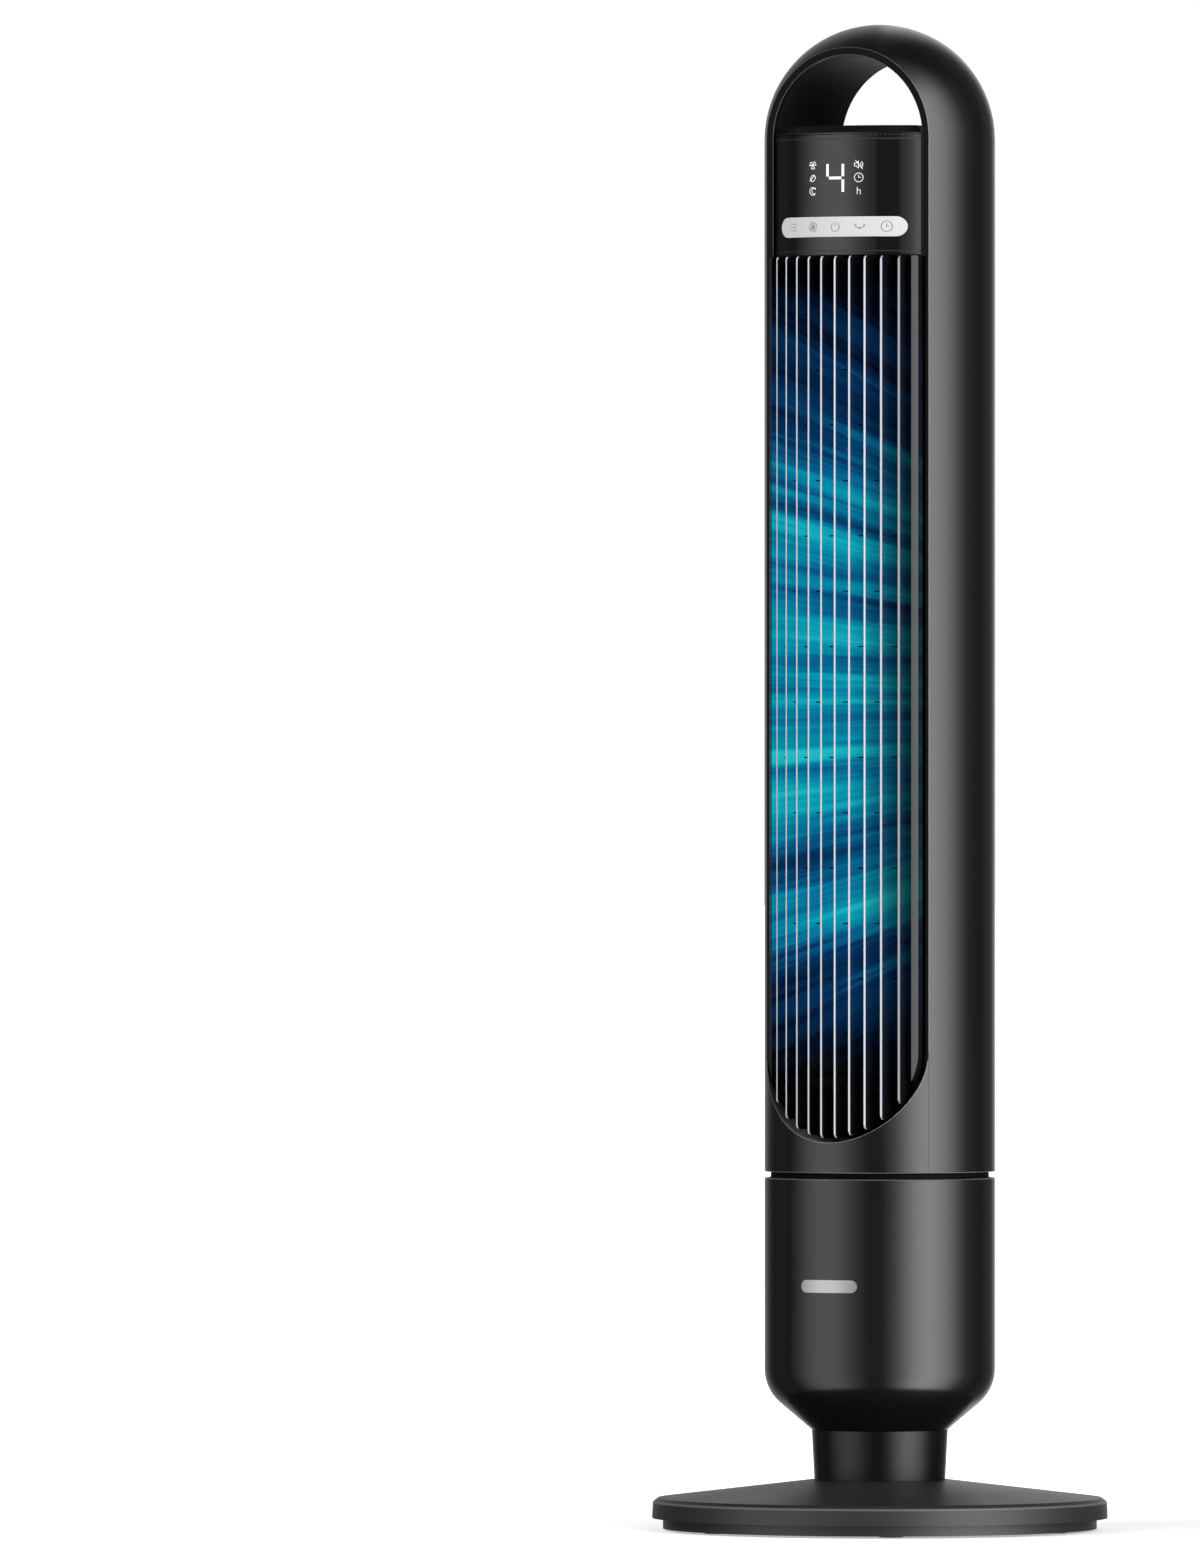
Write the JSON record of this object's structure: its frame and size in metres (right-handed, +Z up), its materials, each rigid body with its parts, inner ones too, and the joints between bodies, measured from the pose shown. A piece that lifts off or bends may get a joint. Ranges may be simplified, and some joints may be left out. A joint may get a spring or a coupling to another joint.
{
  "type": "tower fan",
  "caption": "Slim round tower fan with an arched carrying handle, a curved control panel, a vertical-fin grille and a round base; the tower turns on its stand.",
  "frame": {"origin": "on the floor under the vertical axis of the base and the tower", "axes": "+Z up along the tower, -Y out of the front grille, +X to the right when facing the front grille"},
  "size_m": [0.324, 0.324, 1.07],
  "materials": {
    "housing": "satin, very fine moulded grain",
    "base": "matt, fine moulded grain",
    "grille": "gloss with silver front edges",
    "display": "high gloss",
    "touch_strip": "pearl silver",
    "badge": "fine brushed",
    "rubber": "matt",
    "steel": "zinc plated",
    "shaft_steel": "ground",
    "inner_plastic": "moulded",
    "acetal": "moulded acetal",
    "impeller": "dark teal moulded",
    "circuit_board": "solder mask",
    "copper": "enamelled copper",
    "bronze": "sintered bronze",
    "iron_core": "laminated steel",
    "capacitor": "shrink sleeve",
    "wire": "sleeved wire",
    "smoked_lens": "infrared filter"
  },
  "bodies": {
    "stand": {"base_cover": "base", "ballast_plate": "steel", "base_bottom_plate": "base", "rubber_feet": "rubber", "base_screws": "steel", "neck_tube": "housing", "neck_nut": "inner_plastic", "neck_screws": "steel", "lower_housing": "housing", "badge": "badge", "cord_gland": "rubber", "turntable_deck": "inner_plastic", "deck_screws": "steel", "glide_ring": "acetal", "oscillation_motor": "steel", "oscillation_motor_screws": "steel", "power_board": "circuit_board", "transformer": "iron_core", "capacitors": "capacitor", "power_board_screws": "steel"},
    "pinion": {"oscillation_pinion": "acetal", "pinion_shaft": "shaft_steel"},
    "tower": {"tower_floor": "inner_plastic", "tower_floor_screws": "steel", "ring_gear": "acetal", "ring_gear_screws": "steel", "pivot_tube": "steel", "pivot_retainer": "steel", "retainer_screws": "steel", "motor_cradle": "inner_plastic", "cradle_screws": "steel", "motor_case": "steel", "motor_end_cap": "steel", "motor_stator": "iron_core", "motor_windings": "copper", "motor_mounts": "rubber", "motor_screws": "steel", "scroll_wall": "inner_plastic", "stabiliser": "inner_plastic", "bearing_plate": "inner_plastic", "bearing_rubber": "rubber", "upper_bearing": "bronze", "tower_housing": "housing", "handle_liner": "housing", "front_grille": "grille", "rear_grille": "housing", "rear_grille_screws": "steel", "display_panel": "display", "touch_strip": "touch_strip", "display_carrier": "inner_plastic", "display_board": "circuit_board", "display_module": "inner_plastic", "ir_receiver": "smoked_lens", "head_cap": "display", "tower_harness": "wire"},
    "impeller": {"impeller": "impeller", "impeller_hub": "rubber", "impeller_pin": "shaft_steel", "motor_shaft": "shaft_steel", "motor_rotor": "iron_core"}
  },
  "joints": [
    {"name": "oscillation", "type": "hinge", "parent": "stand", "child": "tower", "pos_m": [0, 0, 0.2547], "axis": [0, 0, 1], "range_deg": [-45, 45]},
    {"name": "oscillation_pinion", "type": "hinge", "parent": "stand", "child": "pinion", "pos_m": [-0.054, 0, 0.245], "axis": [0, 0, 1], "range_deg": [-181, 181]},
    {"name": "impeller_spin", "type": "hinge", "parent": "tower", "child": "impeller", "pos_m": [0, 0, 0.338], "axis": [0, 0, 1], "continuous": true}
  ],
  "couplings": [
    {"joint": "oscillation_pinion", "follows": "oscillation", "ratio": -4}
  ]
}
